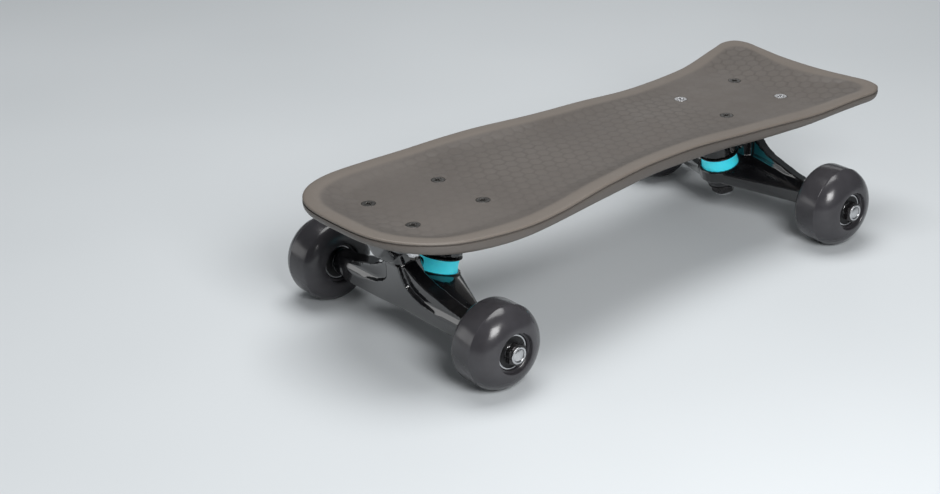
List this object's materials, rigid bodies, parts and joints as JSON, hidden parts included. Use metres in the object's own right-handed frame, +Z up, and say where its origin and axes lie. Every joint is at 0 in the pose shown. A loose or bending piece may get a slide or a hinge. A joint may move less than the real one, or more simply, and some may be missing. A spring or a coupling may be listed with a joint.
{
  "type": "skateboard",
  "caption": "Mini cruiser skateboard: moulded plastic deck with dished, textured top and kicked ends on sprung kingpin trucks with urethane wheels.",
  "frame": {"origin": "on the ground, under the middle of the board's length and width", "axes": "+X to the rounded nose, +Y to the rider's left, +Z up"},
  "size_m": [0.4085, 0.1974, 0.0915],
  "materials": {
    "deck_plastic": "satin moulded, fine cell texture on top",
    "truck_paint": "gloss black",
    "wheel_urethane": "cast polyurethane, semi-gloss",
    "bushing_urethane": "cast polyurethane, satin cyan",
    "black_urethane": "cast polyurethane, satin black",
    "zinc_steel": "bright zinc plate",
    "black_steel": "black oxide steel",
    "bearing_steel": "steel races with dark shields",
    "cup_plastic": "black urethane"
  },
  "bodies": {
    "deck_assembly": {"deck": "deck_plastic", "front_baseplate": "truck_paint", "front_pivot_cup": "cup_plastic", "front_kingpin": "black_steel", "front_kingpin_nut": "black_steel", "front_boardside_bushing": "bushing_urethane", "front_roadside_bushing": "black_urethane", "front_boardside_washer": "black_steel", "front_roadside_washer": "black_steel", "front_bolt_nose_left": "black_steel", "front_bolt_nose_right": "black_steel", "front_bolt_tail_left": "black_steel", "front_bolt_tail_right": "black_steel", "rear_baseplate": "truck_paint", "rear_pivot_cup": "cup_plastic", "rear_kingpin": "black_steel", "rear_kingpin_nut": "black_steel", "rear_boardside_bushing": "bushing_urethane", "rear_roadside_bushing": "black_urethane", "rear_boardside_washer": "black_steel", "rear_roadside_washer": "black_steel", "rear_bolt_nose_left": "black_steel", "rear_bolt_nose_right": "zinc_steel", "rear_bolt_tail_left": "zinc_steel", "rear_bolt_tail_right": "black_steel"},
    "front_hanger_assembly": {"front_hanger": "truck_paint", "front_axle": "zinc_steel", "front_left_axle_nut": "black_steel", "front_left_bearing_spacer": "zinc_steel", "front_left_outer_speed_washer": "zinc_steel", "front_left_inner_speed_washer": "zinc_steel", "front_right_axle_nut": "black_steel", "front_right_bearing_spacer": "zinc_steel", "front_right_outer_speed_washer": "zinc_steel", "front_right_inner_speed_washer": "zinc_steel"},
    "rear_hanger_assembly": {"rear_hanger": "truck_paint", "rear_axle": "zinc_steel", "rear_left_axle_nut": "black_steel", "rear_left_bearing_spacer": "zinc_steel", "rear_left_outer_speed_washer": "zinc_steel", "rear_left_inner_speed_washer": "zinc_steel", "rear_right_axle_nut": "black_steel", "rear_right_bearing_spacer": "zinc_steel", "rear_right_outer_speed_washer": "zinc_steel", "rear_right_inner_speed_washer": "zinc_steel"},
    "front_left_wheel_assembly": {"front_left_wheel": "wheel_urethane", "front_left_outer_bearing": "bearing_steel", "front_left_inner_bearing": "bearing_steel"},
    "front_right_wheel_assembly": {"front_right_wheel": "wheel_urethane", "front_right_outer_bearing": "bearing_steel", "front_right_inner_bearing": "bearing_steel"},
    "rear_left_wheel_assembly": {"rear_left_wheel": "wheel_urethane", "rear_left_outer_bearing": "bearing_steel", "rear_left_inner_bearing": "bearing_steel"},
    "rear_right_wheel_assembly": {"rear_right_wheel": "wheel_urethane", "rear_right_outer_bearing": "bearing_steel", "rear_right_inner_bearing": "bearing_steel"}
  },
  "joints": [
    {"name": "front_steer", "type": "hinge", "parent": "deck_assembly", "child": "front_hanger_assembly", "pos_m": [0.13014, 0, 0.03453], "axis": [0.7771, 0, 0.6293], "range_deg": [-15, 15], "stiffness_Nm_per_rad": 40, "deforming": ["front_boardside_bushing", "front_roadside_bushing"]},
    {"name": "rear_steer", "type": "hinge", "parent": "deck_assembly", "child": "rear_hanger_assembly", "pos_m": [-0.12084, 0, 0.03453], "axis": [-0.7771, 0, 0.6293], "range_deg": [-15, 15], "stiffness_Nm_per_rad": 40, "deforming": ["rear_boardside_bushing", "rear_roadside_bushing"]},
    {"name": "front_left_wheel_spin", "type": "hinge", "parent": "front_hanger_assembly", "child": "front_left_wheel_assembly", "pos_m": [0.15205, 0.0804, 0.0259], "axis": [0, 1, 0], "continuous": true},
    {"name": "front_right_wheel_spin", "type": "hinge", "parent": "front_hanger_assembly", "child": "front_right_wheel_assembly", "pos_m": [0.15205, -0.0804, 0.0259], "axis": [0, 1, 0], "continuous": true},
    {"name": "rear_left_wheel_spin", "type": "hinge", "parent": "rear_hanger_assembly", "child": "rear_left_wheel_assembly", "pos_m": [-0.14275, 0.0804, 0.0259], "axis": [0, 1, 0], "continuous": true},
    {"name": "rear_right_wheel_spin", "type": "hinge", "parent": "rear_hanger_assembly", "child": "rear_right_wheel_assembly", "pos_m": [-0.14275, -0.0804, 0.0259], "axis": [0, 1, 0], "continuous": true}
  ]
}
